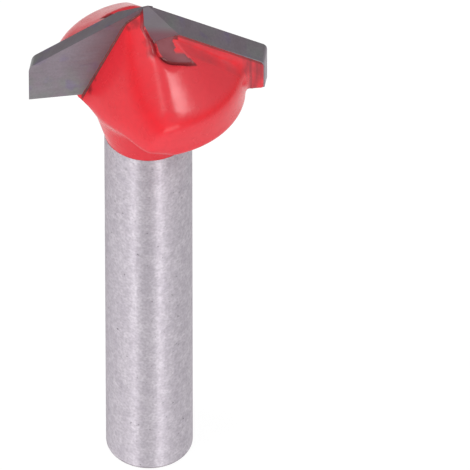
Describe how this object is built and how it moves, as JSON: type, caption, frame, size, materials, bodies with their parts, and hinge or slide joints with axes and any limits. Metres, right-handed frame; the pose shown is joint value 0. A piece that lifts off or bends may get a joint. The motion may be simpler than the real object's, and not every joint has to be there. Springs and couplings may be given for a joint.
{
  "type": "v groove router bit",
  "caption": "Cutting bit with a plain round shank and a painted conical head that carries brazed hard metal plates ground to a 120 degree point for V grooves.",
  "frame": {"origin": "centre of the flat foot of the shank", "axes": "+Z along the tool's axis from the foot to the cutting point, +X close to the rear blade's outward direction (8 degrees short of it)"},
  "size_m": [0.0216, 0.0178, 0.0545],
  "materials": {
    "painted_steel_body": "ground shank, head in glossy red enamel",
    "hard_metal": "ground tungsten carbide, dark grey",
    "braze": "silver brazing alloy, dull"
  },
  "bodies": {
    "root": {"body": "painted_steel_body", "cutting_plate_front": "hard_metal", "cutting_plate_rear": "hard_metal", "braze_film_front": "braze", "braze_film_rear": "braze"}
  },
  "joints": []
}
